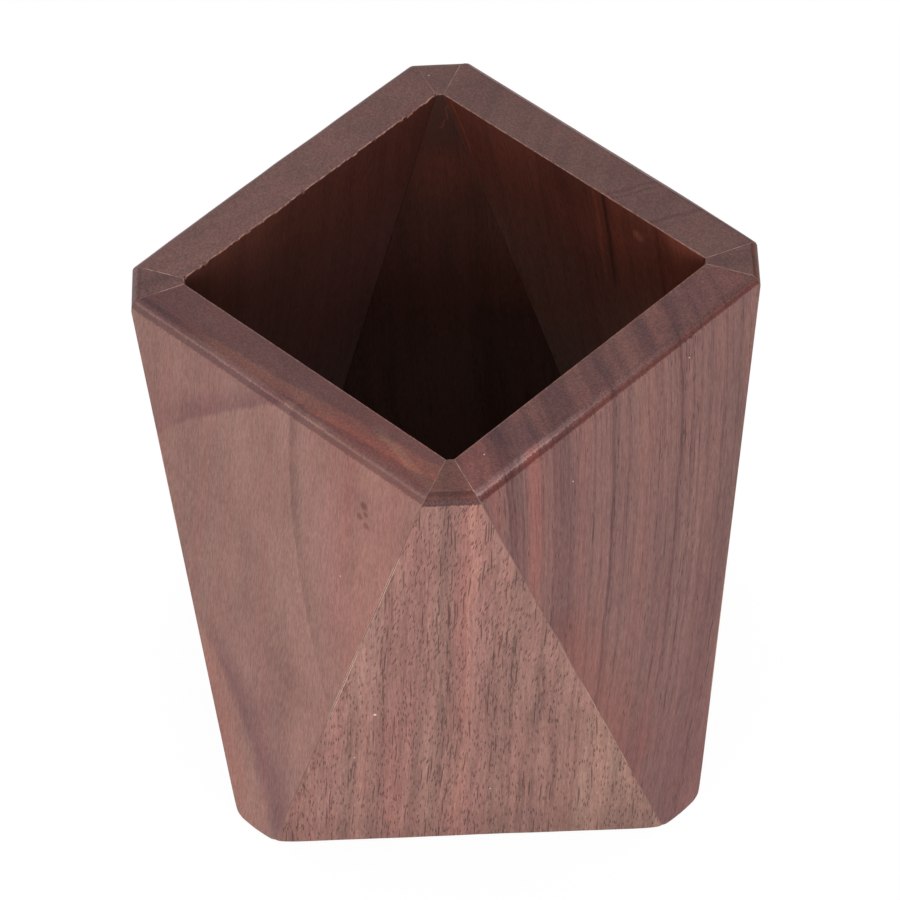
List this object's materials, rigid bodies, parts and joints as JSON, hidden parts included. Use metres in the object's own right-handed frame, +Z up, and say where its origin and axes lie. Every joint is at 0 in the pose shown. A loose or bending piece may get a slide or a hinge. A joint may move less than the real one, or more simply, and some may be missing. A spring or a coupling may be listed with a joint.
{
  "type": "pen holder",
  "caption": "Faceted open-topped wooden pen holder with mitred tapered staves, a square mouth turned against a square base, and an inset floor.",
  "frame": {"origin": "centre of the underside, on the surface that the holder stands on", "axes": "+Z up along the axis of the cup, -Y towards the viewer and square to the front stave's foot, +X to the viewer's right"},
  "size_m": [0.1066, 0.1066, 0.1],
  "materials": {
    "base_stave_back": "satin oiled walnut, vertical grain",
    "rim_stave_back_left": "satin oiled walnut, vertical grain, torn fibres along the inner edge",
    "base_stave_left": "satin oiled walnut, vertical grain",
    "rim_stave_front_left": "satin oiled walnut, close grain with a cloudy darker patch",
    "base_stave_front": "satin oiled walnut, open pores and fine vertical streaks",
    "rim_stave_front_right": "satin oiled walnut, straight darker vertical stripes",
    "base_stave_right": "satin oiled walnut, vertical grain",
    "rim_stave_back_right": "satin oiled walnut, reddish, with dark streaks",
    "floor_panel": "oiled walnut, plain grain"
  },
  "bodies": {
    "root": {"base_stave_back": "base_stave_back", "rim_stave_back_left": "rim_stave_back_left", "base_stave_left": "base_stave_left", "rim_stave_front_left": "rim_stave_front_left", "base_stave_front": "base_stave_front", "rim_stave_front_right": "rim_stave_front_right", "base_stave_right": "base_stave_right", "rim_stave_back_right": "rim_stave_back_right", "floor_panel": "floor_panel"}
  },
  "joints": []
}
